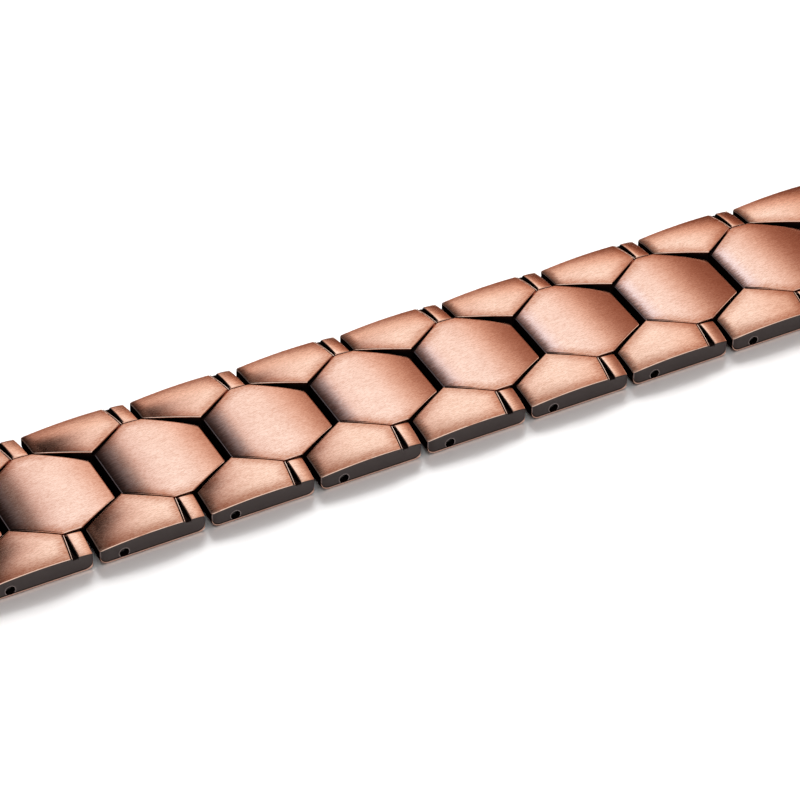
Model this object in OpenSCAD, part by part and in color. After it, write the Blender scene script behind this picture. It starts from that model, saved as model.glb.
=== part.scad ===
// Magnetic link bracelet, opened at its clasp and laid out straight and flat.
// X runs along the band, Y across it, Z up from the surface that it lies on.
// Every link is one casting: a crowned hexagon whose right half is the hinge tongue, two wings
// whose left halves are the hinge ears, and two small tabs behind a cross groove.

/* [Band] */
// Number of cast links
link_count = 19; // [6:1:19]
// Distance from one link to the next
link_pitch = 10; // [9.5:0.1:12]
// Width of the band over its wings
band_w = 16.2; // [14:0.1:20]
// Thickness of a link at the top of its crown
link_t = 2.19; // [2:0.01:3]

/* [Hexagon] */
// Width of the hexagon over its two long sides
hex_w = 10.5; // [9:0.1:12]
// Width of the hexagon's left end
hex_end_w = 5.7; // [5:0.1:6.6]
// How much narrower the tongue's tip is than the left end
tip_narrowing = 0.4; // [0.2:0.05:0.8]
// Where the hexagon's straight sides start, from its left end
side_start = 3.6; // [3.2:0.1:4]
// Length of the hexagon's straight sides
side_len = 1.6; // [1.2:0.1:1.9]
// Gap between the tongue's tip and the next hexagon
tip_gap = 0.54; // [0.3:0.02:0.8]

/* [Wings and tabs] */
// How far the hinge ears reach back beside the previous hexagon
ear_reach = 4.42; // [4:0.02:4.5]
// Sideways room between an ear and the hexagon's widest place
ear_room = 0.1; // [0.05:0.01:0.3]
// How much shorter the tab is at the band's edge than at the hexagon
tab_rake = 0.2; // [0:0.05:0.4]

/* [Cross groove] */
// Width of the groove beside the hexagon
groove_in_w = 0.36; // [0.2:0.02:0.5]
// Width of the groove at the band's edge
groove_out_w = 0.66; // [0.4:0.02:0.9]
// How far the groove leans back on its way out
groove_lean = 0.3; // [0:0.05:0.5]
// Depth of the groove below the highest place of the crown
groove_depth = 0.66; // [0.5:0.02:0.9]
// Width of the engraved line round the hexagon
score_w = 0.22; // [0.1:0.02:0.4]
// Depth of the engraved line below the highest place of the crown
score_depth = 0.38; // [0.3:0.02:0.5]

/* [Crowns] */
// Radius of the hexagon's crown along the band
hex_crown_r = 34; // [28:1:60]
// Place of the hexagon's highest line, from its left end
hex_crown_at = 3.7; // [3:0.1:4.7]
// Radius of the wings' crown along the band
wing_crown_r = 45; // [40:1:90]
// Place of the wings' highest line, from the hexagon's left end
wing_crown_at = 1.4; // [0.5:0.1:2]
// How far the wings' outer edges drop below the crown
edge_drop = 0.34; // [0.2:0.02:0.5]
// Rounding under the tips of the ears
ear_under_r = 0.6; // [0.3:0.05:0.8]
// Rounding under the ends of the tabs
tab_under_r = 0.45; // [0.2:0.05:0.8]
// Rounding under the tongue's tip
tongue_under_r = 0.8; // [0.4:0.05:1]

/* [Hinge] */
// Diameter of the hinge pins
pin_d = 0.8; // [0.7:0.02:0.9]
// Room round a pin in its bore
pin_room = 0.03; // [0.02:0.01:0.05]
// Distance of the pin behind the hexagon's left end
pin_back = 2.27; // [2:0.01:2.6]
// Height of the pin above the band's back
pin_z = 0.66; // [0.6:0.01:0.8]
// How far the pin's ends lie inside the band's edges
pin_recess = 0.3; // [0.1:0.05:0.6]

/* [Magnets] */
// Diameter of the round magnets
magnet_d = 4; // [3:0.1:5]
// Thickness of the magnets
magnet_t = 1.1; // [0.8:0.05:1.2]
// Room round and above a magnet in its pocket
magnet_room = 0.05; // [0.03:0.01:0.1]
// How far a magnet lies inside the band's back
magnet_recess = 0.1; // [0.05:0.05:0.2]

/* [Clasp] */
// Length of the clasp, from its own pin to the pin that it catches
clasp_pitch = 20; // [17:0.5:26]
// Width of the clasp's open mouth under the pin that it catches
mouth_w = 0.72; // [0.6:0.02:0.8]

/* [Hidden] */
$fn = 96;
cut = 1;                                        // how far a cutter runs past the surface it cuts
half_w = band_w / 2;
hex_half = hex_w / 2;
end_half = hex_end_w / 2;
tip_half = end_half - tip_narrowing / 2;
side_end = side_start + side_len;
tip_x = link_pitch - tip_gap;
ear_in = hex_half + ear_room;
bore_d = pin_d + 2 * pin_room;
edge_w = half_w - hex_half;                     // width of the strip in which the edge drops
edge_r = (edge_w * edge_w + edge_drop * edge_drop) / (2 * edge_drop);
plain_run = clasp_pitch - link_pitch;           // how much longer the clasp is than a link
root_lap = score_w / 4;                         // how far a wing's root laps into the hexagon
band_mid = (link_count * link_pitch + clasp_pitch - tip_gap - ear_reach) / 2;

// Radius of a crown that is run longer than a link's, and drops as far at the end that lies at reach
function crown_r(radius, reach, run) =
    let (drop = radius - sqrt(radius * radius - reach * reach), half = reach + run / 2)
    (half * half + drop * drop) / (2 * drop);

function two_digits(i) = str(i < 10 ? "0" : "", i);
function link_name(i) = str("link_", two_digits(i));
function pin_name(i) = str("pin_", two_digits(i));
function magnet_name(i) = str("magnet_", two_digits(i));

// Puts its children at the left end of the i-th hexagon, counted from 1
module at_link(i) {
    translate([(i - 1) * link_pitch - band_mid, 0, 0]) children();
}

// Wheel whose rim is a crown: level across the hexagon, dropping in an arc to the band's edges
module crown_wheel(radius, at) {
    translate([at, 0, link_t - radius])
        rotate([90, 0, 0])
            rotate_extrude($fn = 360) {
                translate([0, -hex_half]) square([radius, hex_w]);
                translate([0, -half_w]) square([radius - edge_r, band_w]);
                for (side = [-1, 1])
                    intersection() {
                        translate([radius - edge_r, side * hex_half]) circle(r = edge_r, $fn = 240);
                        translate([radius - edge_r - cut, side > 0 ? hex_half : -half_w])
                            square([edge_r + 2 * cut, edge_w]);
                    }
            }
}

// Takes the sharp lower edge off an end at x; way is 1 for a right end and -1 for a left one
module under_round(x, r, way) {
    translate([x - way * r, 0, r])
        rotate([90, 0, 0])
            difference() {
                translate([way > 0 ? 0 : -r - cut, -r - cut, -half_w - cut])
                    cube([r + cut, r + cut, band_w + 2 * cut]);
                translate([0, 0, -half_w - 2 * cut]) cylinder(r = r, h = band_w + 4 * cut);
            }
}

// Plan of the hexagon; run is the plain length that the clasp has between its two halves
module hex_plan(run) {
    polygon([
        [0, -end_half], [side_start, -hex_half], [side_end + run, -hex_half],
        [tip_x + run, -tip_half], [tip_x + run, tip_half],
        [side_end + run, hex_half], [side_start, hex_half], [0, end_half]
    ]);
}

// Plan of one wing with its tab, with a root that laps into the hexagon under the engraved line
module wing_plan(run) {
    polygon([
        [0, end_half], [root_lap, end_half], [side_start, hex_half - root_lap],
        [side_end + run, hex_half - root_lap], [side_end + run, hex_half],
        [side_end + run - tab_rake, half_w], [-ear_reach, half_w], [-ear_reach, ear_in]
    ]);
}

// Plan of the cross groove between a wing and its tab
module groove_plan() {
    mid = side_start + groove_in_w / 4;
    lean_per_mm = groove_lean / edge_w;
    flare_per_mm = (groove_out_w - groove_in_w) / 2 / edge_w;
    out = half_w + cut;
    run_out = out - hex_half;
    polygon([
        [mid - groove_in_w / 2, hex_half], [mid + groove_in_w / 2, hex_half],
        [mid - lean_per_mm * run_out + groove_in_w / 2 + flare_per_mm * run_out, out],
        [mid - lean_per_mm * run_out - groove_in_w / 2 - flare_per_mm * run_out, out]
    ]);
}

// Engraved line with round ends from point a to point b, each given in plan
module score(a, b) {
    d = b - a;
    translate([a[0], a[1], link_t - score_depth])
        rotate([0, 0, atan2(d[1], d[0])]) {
            translate([0, -score_w / 2, 0]) cube([norm(d), score_w, score_depth + cut]);
            for (x = [0, norm(d)])
                translate([x, 0, 0]) cylinder(d = score_w, h = score_depth + cut, $fn = 24);
        }
}

// Engraved line between the hexagon and one of its wings
module root_line(run) {
    score([0, end_half], [side_start, hex_half]);
    score([side_start, hex_half], [side_end + run, hex_half]);
}

// Bore for a hinge pin, across the band
module pin_bore(x) {
    translate([x, 0, pin_z])
        rotate([90, 0, 0])
            cylinder(d = bore_d, h = band_w + 2 * cut, center = true, $fn = 48);
}

// Hexagon with its tongue, and the wings with their ears and tabs, without any engraving
module cast_blank(run) {
    difference() {
        intersection() {
            linear_extrude(height = link_t + cut) hex_plan(run);
            crown_wheel(crown_r(hex_crown_r, tip_x - hex_crown_at, run), hex_crown_at + run / 2);
        }
        under_round(tip_x + run, tongue_under_r, 1);
    }
    difference() {
        intersection() {
            linear_extrude(height = link_t + cut) {
                wing_plan(run);
                mirror([0, 1, 0]) wing_plan(run);
            }
            crown_wheel(crown_r(wing_crown_r, wing_crown_at + ear_reach, run), wing_crown_at + run / 2);
        }
        under_round(-ear_reach, ear_under_r, -1);
        under_round(side_end + run, tab_under_r, 1);
    }
}

// One cast link
module link() {
    color([0.80, 0.52, 0.40])
        difference() {
            cast_blank(0);
            for (side = [0, 1])
                mirror([0, side, 0]) {
                    translate([0, 0, link_t - groove_depth])
                        linear_extrude(height = groove_depth + cut) groove_plan();
                    root_line(0);
                }
            pin_bore(-pin_back);
            pin_bore(link_pitch - pin_back);
            translate([side_start, 0, -cut])
                cylinder(d = magnet_d + 2 * magnet_room, h = cut + magnet_recess + magnet_t + magnet_room);
        }
}

// Straight hinge pin, held between a link's two ears
module pin() {
    color([0.35, 0.27, 0.24])
        translate([-pin_back, 0, pin_z])
            rotate([90, 0, 0])
                cylinder(d = pin_d, h = band_w - 2 * pin_recess, center = true, $fn = 48);
}

// Round magnet in the back of a link
module magnet() {
    color([0.30, 0.28, 0.28])
        translate([side_start, 0, magnet_recess]) cylinder(d = magnet_d, h = magnet_t);
}

// Clasp: a long blank with no cross grooves, which hinges like a link and snaps down over the first
// link's pin
module clasp() {
    catch_x = clasp_pitch - pin_back;
    color([0.78, 0.50, 0.38])
        difference() {
            cast_blank(plain_run);
            for (side = [0, 1]) mirror([0, side, 0]) root_line(plain_run);
            pin_bore(-pin_back);
            pin_bore(catch_x);
            translate([catch_x - mouth_w / 2, -half_w, -cut]) cube([mouth_w, band_w, pin_z + cut]);
        }
}

for (i = [1:link_count]) {
    at_link(i) link();
    at_link(i) magnet();
}
for (i = [1:link_count + 1]) {
    at_link(i) pin();
}
at_link(link_count + 1) clasp();
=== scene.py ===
"""Magnetic link bracelet, opened at its clasp and laid flat: the dressed model round the CAD frame."""

import math

import bmesh
import bpy
import numpy as np
from bpy.props import FloatProperty, FloatVectorProperty, IntProperty, PointerProperty
from mathutils import Matrix, Vector


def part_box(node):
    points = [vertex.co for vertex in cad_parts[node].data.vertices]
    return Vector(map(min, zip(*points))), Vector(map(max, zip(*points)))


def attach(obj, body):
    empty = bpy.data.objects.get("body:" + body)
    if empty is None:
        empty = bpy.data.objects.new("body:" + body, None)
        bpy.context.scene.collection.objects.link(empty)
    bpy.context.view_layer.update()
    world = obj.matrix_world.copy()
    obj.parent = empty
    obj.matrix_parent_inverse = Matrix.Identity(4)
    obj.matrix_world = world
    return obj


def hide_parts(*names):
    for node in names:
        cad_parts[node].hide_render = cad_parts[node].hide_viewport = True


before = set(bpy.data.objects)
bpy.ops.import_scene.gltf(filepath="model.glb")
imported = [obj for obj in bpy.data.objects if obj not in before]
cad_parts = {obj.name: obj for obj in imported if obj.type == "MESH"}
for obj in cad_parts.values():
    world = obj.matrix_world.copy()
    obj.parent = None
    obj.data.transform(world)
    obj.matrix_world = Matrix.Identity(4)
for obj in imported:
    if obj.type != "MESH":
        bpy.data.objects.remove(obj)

bl_info = {
    "name": "Magnetic link bracelet",
    "version": (1, 0, 0),
    "blender": (4, 5, 0),
    "location": "3D View > Sidebar > Bracelet",
    "description": "Builds the cast links, pins, magnets, clasp and studio of a link bracelet",
    "category": "Add Mesh",
}

MM = 0.001


def nodes_named(start):
    """The CAD nodes whose names start with the given word, in order along the band."""
    return sorted(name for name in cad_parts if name.startswith(start))


LINK_NODES = nodes_named("link_")
PIN_NODES = nodes_named("pin_")
MAGNET_NODES = nodes_named("magnet_")
FIRST_LOW, FIRST_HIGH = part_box(LINK_NODES[0])
SECOND_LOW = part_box(LINK_NODES[1])[0]
PIN_LOW, PIN_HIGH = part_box(PIN_NODES[0])
MAGNET_LOW, MAGNET_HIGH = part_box(MAGNET_NODES[0])
CLASP_LOW, CLASP_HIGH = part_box("clasp")
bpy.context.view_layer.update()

# Turn of the brushing on the hexagons and on the wings
HEXAGON_TURN = math.radians(5)
WING_TURN = math.radians(2)

# Rings of a raised field: shares of the way from its edge to its spine on the back and on the crown, and
# the wall's rings, each as a height and the share of the wall that it may take up at most or at least
BACK_SHARES = (0.86, 0.6, 0.36, 0.2, 0.1, 0.04)
CROWN_SHARES = (0.03, 0.08, 0.16, 0.27, 0.4, 0.55, 0.7, 0.86)
WALL_RISES = ((0.10, 0.2), (0.17, 0.3))
WALL_FALL = (0.07, 0.7)
SPINE_COUNT = 14

# Distance from a field's edge, in millimetres, that is past every edge mask
FAR_FROM_EDGE = 2.0

WHITE = (1.0, 1.0, 1.0, 1.0)


def length(label, text, default):
    """A size that a user can change, kept in metres and given here in millimetres."""
    return FloatProperty(
        name=label, description=text, default=default * MM, min=0.0, unit="LENGTH", precision=5)


def colour(label, text, default):
    """A colour that a user can change."""
    return FloatVectorProperty(
        name=label, description=text, default=default, size=3, min=0.0, max=1.0, subtype="COLOR")


class BraceletSizes(bpy.types.PropertyGroup):
    link_pitch: length("Link pitch", "Distance from one link to the next", (SECOND_LOW.x - FIRST_LOW.x) / MM)
    band_width: length("Band width", "Width over the wings", (FIRST_HIGH.y - FIRST_LOW.y) / MM)
    link_thickness: length("Link thickness", "Height of the crown's top", FIRST_HIGH.z / MM)
    hexagon_width: length("Hexagon width", "Width over the hexagon's two long sides", 10.5)
    hexagon_end: length("Hexagon end", "Width of the hexagon's left end", 5.7)
    tongue_end: length("Tongue end", "Width of the tongue's tip", 5.3)
    side_start: length("Side start", "Where the hexagon's straight sides start, from its left end", 3.6)
    side_length: length("Side length", "Length of the hexagon's straight sides", 1.6)
    ear_reach: length("Ear reach", "How far the hinge ears reach back beside the previous hexagon", 4.42)
    ear_room: length("Ear room", "Sideways room between an ear and the hexagon's widest place", 0.1)
    tab_rake: length("Tab rake", "How much shorter the tab is at the band's edge", 0.2)
    hexagon_crown: length("Hexagon crown", "Radius of the hexagon's crown along the band", 34.0)
    hexagon_top: length("Hexagon top", "Place of the hexagon's highest line", 3.7)
    hexagon_camber: length("Hexagon camber", "Radius of the hexagon's slight crown across the band", 130.0)
    wing_crown: length("Wing crown", "Radius of the wings' crown along the band", 45.0)
    wing_top: length("Wing top", "Place of the wings' highest line", 0.9)
    edge_drop: length("Edge drop", "How far the wings' outer edges drop", 0.34)
    ear_under: length("Ear rounding", "Rounding under the tips of the ears", 0.78)
    tab_under: length("Tab rounding", "Rounding under the ends of the tabs", 0.75)
    tongue_under: length("Tongue rounding", "Rounding under the tongue's tip", 0.8)
    arris: length("Arris", "Radius of the worn edges round each raised field", 0.09)
    back_arris: length("Back arris", "Radius of the edges round the back", 0.20)
    score_width: length("Engraved line", "Width of the engraved line round the hexagon", 0.22)
    score_depth: length("Line depth", "Depth of the engraved line below the crown", 0.38)
    groove_inner: length("Groove inner width", "Width of the cross groove beside the hexagon", 0.36)
    groove_outer: length("Groove outer width", "Width of the cross groove at the band's edge", 0.66)
    groove_lean: length("Groove lean", "How far the cross groove leans back on its way out", 0.3)
    groove_depth: length("Groove depth", "Depth of the cross groove below the crown", 0.66)
    pin_back: length("Pin place", "Distance of the pin behind the hexagon's left end", 2.27)
    pin_diameter: length("Pin diameter", "Diameter of the hinge pins", (PIN_HIGH.z - PIN_LOW.z) / MM)
    pin_length: length("Pin length", "Length of the hinge pins", (PIN_HIGH.y - PIN_LOW.y) / MM)
    pin_height: length("Pin height", "Height of the pins' axis", (PIN_HIGH.z + PIN_LOW.z) / 2 / MM)
    pin_room: length("Pin room", "Room round a pin in its bore", 0.03)
    magnet_diameter: length("Magnet diameter", "Diameter of the magnets", (MAGNET_HIGH.x - MAGNET_LOW.x) / MM)
    magnet_thickness: length(
        "Magnet thickness", "Thickness of the magnets", (MAGNET_HIGH.z - MAGNET_LOW.z) / MM)
    magnet_recess: length("Magnet recess", "How far a magnet lies inside the back", MAGNET_LOW.z / MM)
    magnet_room: length("Magnet room", "Room round and above a magnet", 0.05)
    clasp_length: length(
        "Clasp length", "Reach of the clasp from end to end", (CLASP_HIGH.x - CLASP_LOW.x) / MM)
    mouth_width: length("Clasp mouth", "Width of the mouth under the pin that the clasp catches", 0.72)


class BraceletFinish(bpy.types.PropertyGroup):
    copper: colour("Copper", "Brushed copper of the crowns", (0.93, 0.62, 0.50))
    worn_copper: colour("Worn copper", "Rubbed copper on the arrises", (0.97, 0.74, 0.62))
    brush_shade: colour("Brush shade", "Darker copper left in the brush marks", (0.54, 0.23, 0.14))
    patina: colour("Patina", "Blackened copper in grooves and gaps", (0.017, 0.010, 0.009))
    side_grey: colour("Side grey", "Blackened flat sides", (0.080, 0.068, 0.066))
    # Pin steel: near black, painted shade for the pins deep in their bores and in the gaps.
    pin_steel: colour("Pin steel", "Dark steel of the hinge pins", (0.055, 0.050, 0.048))
    nickel: colour("Nickel", "Plating of the magnets", (0.62, 0.60, 0.57))


class BraceletStudio(bpy.types.PropertyGroup):
    floor_colour: colour("Floor", "Pale floor", (0.86, 0.86, 0.86))
    camera_azimuth: FloatProperty(
        name="Camera azimuth", description="Turn of the camera round the band",
        default=math.radians(28.288), subtype="ANGLE")
    camera_elevation: FloatProperty(
        name="Camera elevation", description="Height of the camera above the band",
        default=math.radians(39.459), subtype="ANGLE")
    camera_roll: FloatProperty(
        name="Camera roll", description="Roll of the camera", default=math.radians(0.636), subtype="ANGLE")
    camera_distance: length("Camera distance", "Distance from the camera to its target", 311.74)
    camera_lens: FloatProperty(name="Camera lens", description="Focal length", default=164.4, unit="CAMERA")
    target_along: FloatProperty(
        name="Target", description="Place on the band that the camera looks at",
        default=-5.621 * MM, unit="LENGTH")
    key_power: FloatProperty(
        name="Key light", description="Power of the soft light behind the band", default=26.0)
    fill_power: FloatProperty(name="Fill light", description="Power of the weak light overhead", default=1.5)


def crown_radius(radius, reach, run):
    """Radius of a crown that is run longer than a link's, and drops as far at the end that lies at reach."""
    drop = radius - math.sqrt(radius * radius - reach * reach)
    half = reach + run / 2
    return (half * half + drop * drop) / (2 * drop)


def under_round(distance, radius):
    """Height of a rounded lower edge at a distance inside the end that it rounds."""
    inside = np.clip(radius - distance, 0.0, radius)
    return radius - np.sqrt(radius * radius - inside * inside)


def quarter(steps, first=1):
    """Shares (1 - sine, 1 - cosine) at the steps of a quarter turn, for a rounded edge."""
    angles = [math.pi / 2 * step / steps for step in range(first, steps + 1)]
    return [(1 - math.sin(angle), 1 - math.cos(angle)) for angle in angles]


def unit(values):
    """Values kept between 0 and 1."""
    return np.clip(values, 0.0, 1.0)


class Casting:
    """Sizes and surfaces of one casting in millimetres, measured from its hexagon's left end.
    run is the plain length that the clasp has between its two halves."""

    def __init__(self, sizes, run=0.0):
        for name in sizes.bl_rna.properties.keys():
            if name not in ("rna_type", "name"):
                setattr(self, name, getattr(sizes, name) / MM)
        self.run = run
        self.half_width = self.band_width / 2
        self.hex_half = self.hexagon_width / 2
        self.end_half = self.hexagon_end / 2
        self.tip_half = self.tongue_end / 2
        self.side_end = self.side_start + self.side_length + run
        self.tip_x = (FIRST_HIGH.x - FIRST_LOW.x) / MM - self.ear_reach + run
        self.ear_inner = self.hex_half + self.ear_room
        self.edge_strip = self.half_width - self.hex_half
        self.edge_radius = (self.edge_strip ** 2 + self.edge_drop ** 2) / (2 * self.edge_drop)
        self.hexagon_radius = crown_radius(self.hexagon_crown, self.tip_x - run - self.hexagon_top, run)
        self.wing_radius = crown_radius(self.wing_crown, self.wing_top + self.ear_reach, run)
        self.score_floor = self.link_thickness - self.score_depth
        self.groove_floor = self.link_thickness - self.groove_depth
        self.bore_radius = self.pin_diameter / 2 + self.pin_room
        self.ledge_depth = 0.13
        self.line_taper = 0.05
        self.tab_roll = 8.0
        self.tab_drop = 0.05

    def hexagon_height(self, u, v):
        top = self.hexagon_top + self.run / 2
        along = np.sqrt(self.hexagon_radius ** 2 - (u - top) ** 2)
        return self.link_thickness - self.hexagon_radius + along - v * v / (2 * self.hexagon_camber)

    def wing_height(self, u, v):
        top = self.wing_top + self.run / 2
        overrun = 0.5
        past = np.clip(np.abs(v) - self.hex_half, 0.0, self.edge_strip + overrun)
        rim = self.wing_radius - self.edge_radius + np.sqrt(self.edge_radius ** 2 - past * past)
        return self.link_thickness - self.wing_radius + np.sqrt(rim * rim - (u - top) ** 2)

    def hexagon_under(self, u, v):
        return under_round(self.tip_x - u, self.tongue_under)

    def wing_under(self, u, v):
        left = under_round(u + self.ear_reach, self.ear_under)
        return np.maximum(left, under_round(self.side_end - u, self.tab_under))

    def hexagon_plan(self):
        corners = [
            (0, -self.end_half), (self.side_start, -self.hex_half), (self.side_end, -self.hex_half),
            (self.tip_x, -self.tip_half), (self.tip_x, self.tip_half), (self.side_end, self.hex_half),
            (self.side_start, self.hex_half), (0, self.end_half),
        ]
        line = self.score_width / 2
        insets = [line, line, 0, 0, 0, line, line, 0]
        end, side, tongue = 0.16, 0.3, 0.35
        radii = [end, side, tongue, tongue, tongue, tongue, side, end]
        plan = inset_corners(corners, insets)
        plan[[1, 6]] += [[0.0, -self.line_taper], [0.0, self.line_taper]]
        return plan, radii

    def wing_plan(self):
        corners = [
            (0, self.end_half), (self.side_start, self.hex_half), (self.side_end, self.hex_half),
            (self.side_end - self.tab_rake, self.half_width), (-self.ear_reach, self.half_width),
            (-self.ear_reach, self.ear_inner),
        ]
        line = self.score_width / 2
        insets = [line, line, 0, 0, 0, 0]
        root, side, tab, ear_outer, ear_inner = 0.2, 0.3, 0.16, 0.22, 0.3
        radii = [root, side, tab, tab, ear_outer, ear_inner]
        plan = inset_corners(corners, insets)
        plan[1] -= [0.0, self.line_taper]
        return plan, radii

    def tab_height(self, u, v, top):
        """Height of the small tab, a pillow that is highest at top."""
        return float(self.wing_height(u, v)) - (u - top) ** 2 / (2 * self.tab_roll) - self.tab_drop

    def groove_walls(self, v):
        """Left and right wall of the cross groove at v."""
        way = (v - self.hex_half) / self.edge_strip
        centre = self.side_start + self.groove_inner / 4 - self.groove_lean * way
        half = (self.groove_inner + (self.groove_outer - self.groove_inner) * way) / 2
        return centre - half, centre + half

    def hexagon_width_at(self, u):
        """Half width of the hexagon's plan at u."""
        stations = [0, self.side_start, self.side_end, self.tip_x]
        return np.interp(u, stations, [self.end_half, self.hex_half, self.hex_half, self.tip_half])

    def in_hexagon(self, u, v):
        slack = 0.02
        return (u > -slack) & (np.abs(v) < self.hexagon_width_at(u))


def inset_corners(corners, insets):
    """Moves each side of a counter-clockwise outline inwards by its own inset and returns the new corners."""
    points = np.array(corners, float)
    count = len(points)
    along = np.roll(points, -1, axis=0) - points
    along /= np.linalg.norm(along, axis=1)[:, None]
    inward = np.stack([-along[:, 1], along[:, 0]], axis=1)
    moved = []
    for i in range(count):
        before = (i - 1) % count
        sides = np.array([inward[before], inward[i]])
        reach = [
            inward[before] @ points[i] + insets[before],
            inward[i] @ points[i] + insets[i],
        ]
        moved.append(np.linalg.solve(sides, reach))
    return np.array(moved)


def rounded_outline(corners, radii, step=0.3, turns=6):
    """Points round an outline with rounded corners, and the outward direction at each point."""
    points = np.array(corners, float)
    count = len(points)
    along = np.roll(points, -1, axis=0) - points
    lengths = np.linalg.norm(along, axis=1)
    along /= lengths[:, None]
    angles = []
    backs = []
    for i in range(count):
        a, b = along[i - 1], along[i]
        turn = math.atan2(a[0] * b[1] - a[1] * b[0], a @ b)
        angles.append(turn)
        backs.append(radii[i] * math.tan(abs(turn) / 2))
    places, outward = [], []
    for i in range(count):
        a, b = along[i - 1], along[i]
        side = 1 if angles[i] > 0 else -1
        start = points[i] - a * backs[i]
        centre = start + side * radii[i] * np.array([-a[1], a[0]])
        first = math.atan2(*(start - centre)[::-1])
        for k in range(turns + 1):
            angle = first + angles[i] * k / turns
            way = np.array([math.cos(angle), math.sin(angle)])
            places.append(centre + radii[i] * way)
            outward.append(side * way)
        following = (i + 1) % count
        run = lengths[i] - backs[i] - backs[following]
        pieces = max(2, int(math.ceil(run / step)) + 2)
        origin = points[i] + b * backs[i]
        for k in range(1, pieces):
            share = (1 - math.cos(math.pi * k / pieces)) / 2
            places.append(origin + b * run * share)
            outward.append(np.array([b[1], -b[0]]))
    return np.array(places), np.array(outward)


def spine_cap(ring_places, ring_start, spine_start, facing_up):
    """Triangles between a ring and the line of points that it closes round."""
    low, high = ring_places[:, 0].min(), ring_places[:, 0].max()
    nearest = np.rint((ring_places[:, 0] - low) / (high - low) * (SPINE_COUNT - 1)).astype(int)
    faces = []
    count = len(ring_places)
    for i in range(count):
        j = (i + 1) % count
        here, there = int(nearest[i]), int(nearest[j])
        corners = [(ring_start + i, ring_start + j, spine_start + here)]
        step = 1 if there > here else -1
        for k in range(here, there, step):
            corners.append((ring_start + j, spine_start + k + step, spine_start + k))
        faces += [c if facing_up else c[::-1] for c in corners]
    return faces


def ring_faces(rings, count):
    """Faces between each ring of points and the next."""
    faces = []
    for k in range(rings - 1):
        for i in range(count):
            j = (i + 1) % count
            faces.append((k * count + i, k * count + j, (k + 1) * count + j, (k + 1) * count + i))
    return faces


def raised_field(plan, spine, top, under, arris, back_arris):
    """One raised field of a casting as a closed solid: rounded back edge, wall, worn arris and crown.
    spine is the line, as (left, right, v), that the rings of the crown and back shrink to."""
    left, right, spine_v = spine
    places, outward = rounded_outline(*plan)
    low, high = places[:, 0].min(), places[:, 0].max()
    along = (places[:, 0] - low) / (high - low)
    target = np.stack([left + (right - left) * along, np.full(len(places), spine_v)], axis=1)
    rings = []

    def add_ring(spot, heights):
        rings.append(np.column_stack([spot, heights]))

    inner = places - outward * back_arris
    for share in BACK_SHARES:
        spot = inner + (target - inner) * share
        add_ring(spot, under(*spot.T))
    for inward, up in quarter(4, 0):
        spot = places - outward * back_arris * inward
        add_ring(spot, under(*spot.T) + back_arris * up)
    foot = rings[-1][:, 2]
    head = top(*places.T) - arris
    for rise, share in WALL_RISES:
        add_ring(places, np.minimum(foot + rise, foot + (head - foot) * share))
    fall, share = WALL_FALL
    add_ring(places, np.maximum(head - fall, foot + (head - foot) * share))
    for down, inward in quarter(5, 0):
        spot = places - outward * arris * inward
        add_ring(spot, top(*spot.T) - arris * down)
    brow = places - outward * arris
    for share in CROWN_SHARES:
        spot = brow + (target - brow) * share
        add_ring(spot, top(*spot.T))

    count = len(places)
    first = len(rings) * count
    faces = ring_faces(len(rings), count)
    faces += spine_cap(places, 0, first, False)
    faces += spine_cap(places, first - count, first + SPINE_COUNT, True)
    line = np.column_stack([np.linspace(left, right, SPINE_COUNT), np.full(SPINE_COUNT, spine_v)])
    for surface in (under, top):
        add_ring(line, surface(*line.T))
    return np.concatenate(rings), faces


def between_ends(points):
    """Closed solid from the points of its two ends, which match one to one."""
    count = len(points) // 2
    ends = [tuple(range(count))[::-1], tuple(range(count, 2 * count))]
    return points, ends + ring_faces(2, count)


def prism(corners, low, high):
    """Upright prism over a counter-clockwise outline."""
    return between_ends(np.array([(x, y, z) for z in (low, high) for x, y in corners], float))


def drum(centre, axis, radius, half, sides):
    """Closed cylinder round an axis, which is 0 for X, 1 for Y and 2 for Z."""
    first, second = [(1, 2), (2, 0), (0, 1)][axis]
    points = np.zeros((2 * sides, 3))
    for end in (0, 1):
        for k in range(sides):
            angle = 2 * math.pi * k / sides
            row = points[end * sides + k]
            row[first] = radius * math.cos(angle)
            row[second] = radius * math.sin(angle)
            row[axis] = (-half, half)[end]
    return between_ends(points + np.array(centre))


def lofted(sections):
    """Closed solid through sections with the same number of points, in the same turning direction."""
    count = len(sections[0])
    faces = ring_faces(len(sections), count)
    faces.append(tuple(range(count))[::-1])
    faces.append(tuple(range((len(sections) - 1) * count, len(sections) * count)))
    return np.concatenate(sections), faces


def mirrored(solid):
    """The same solid on the other side of the band."""
    points, faces = solid
    return points * np.array([1, -1, 1]), [tuple(face[::-1]) for face in faces]


def joined(solids):
    """Several solids as one list of points and faces."""
    points, faces, start = [], [], 0
    for solid_points, solid_faces in solids:
        points.append(solid_points)
        faces += [tuple(start + i for i in face) for face in solid_faces]
        start += len(solid_points)
    return np.concatenate(points), faces


def working_object(name, solid):
    """A scratch object, in millimetres, from points and faces, with its faces turned outwards."""
    mesh = bpy.data.meshes.new(name)
    mesh.from_pydata([tuple(p) for p in solid[0]], [], solid[1])
    shape = bmesh.new()
    shape.from_mesh(mesh)
    bmesh.ops.recalc_face_normals(shape, faces=shape.faces)
    shape.to_mesh(mesh)
    shape.free()
    scratch = bpy.data.objects.new(name, mesh)
    bpy.context.scene.collection.objects.link(scratch)
    return scratch


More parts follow.
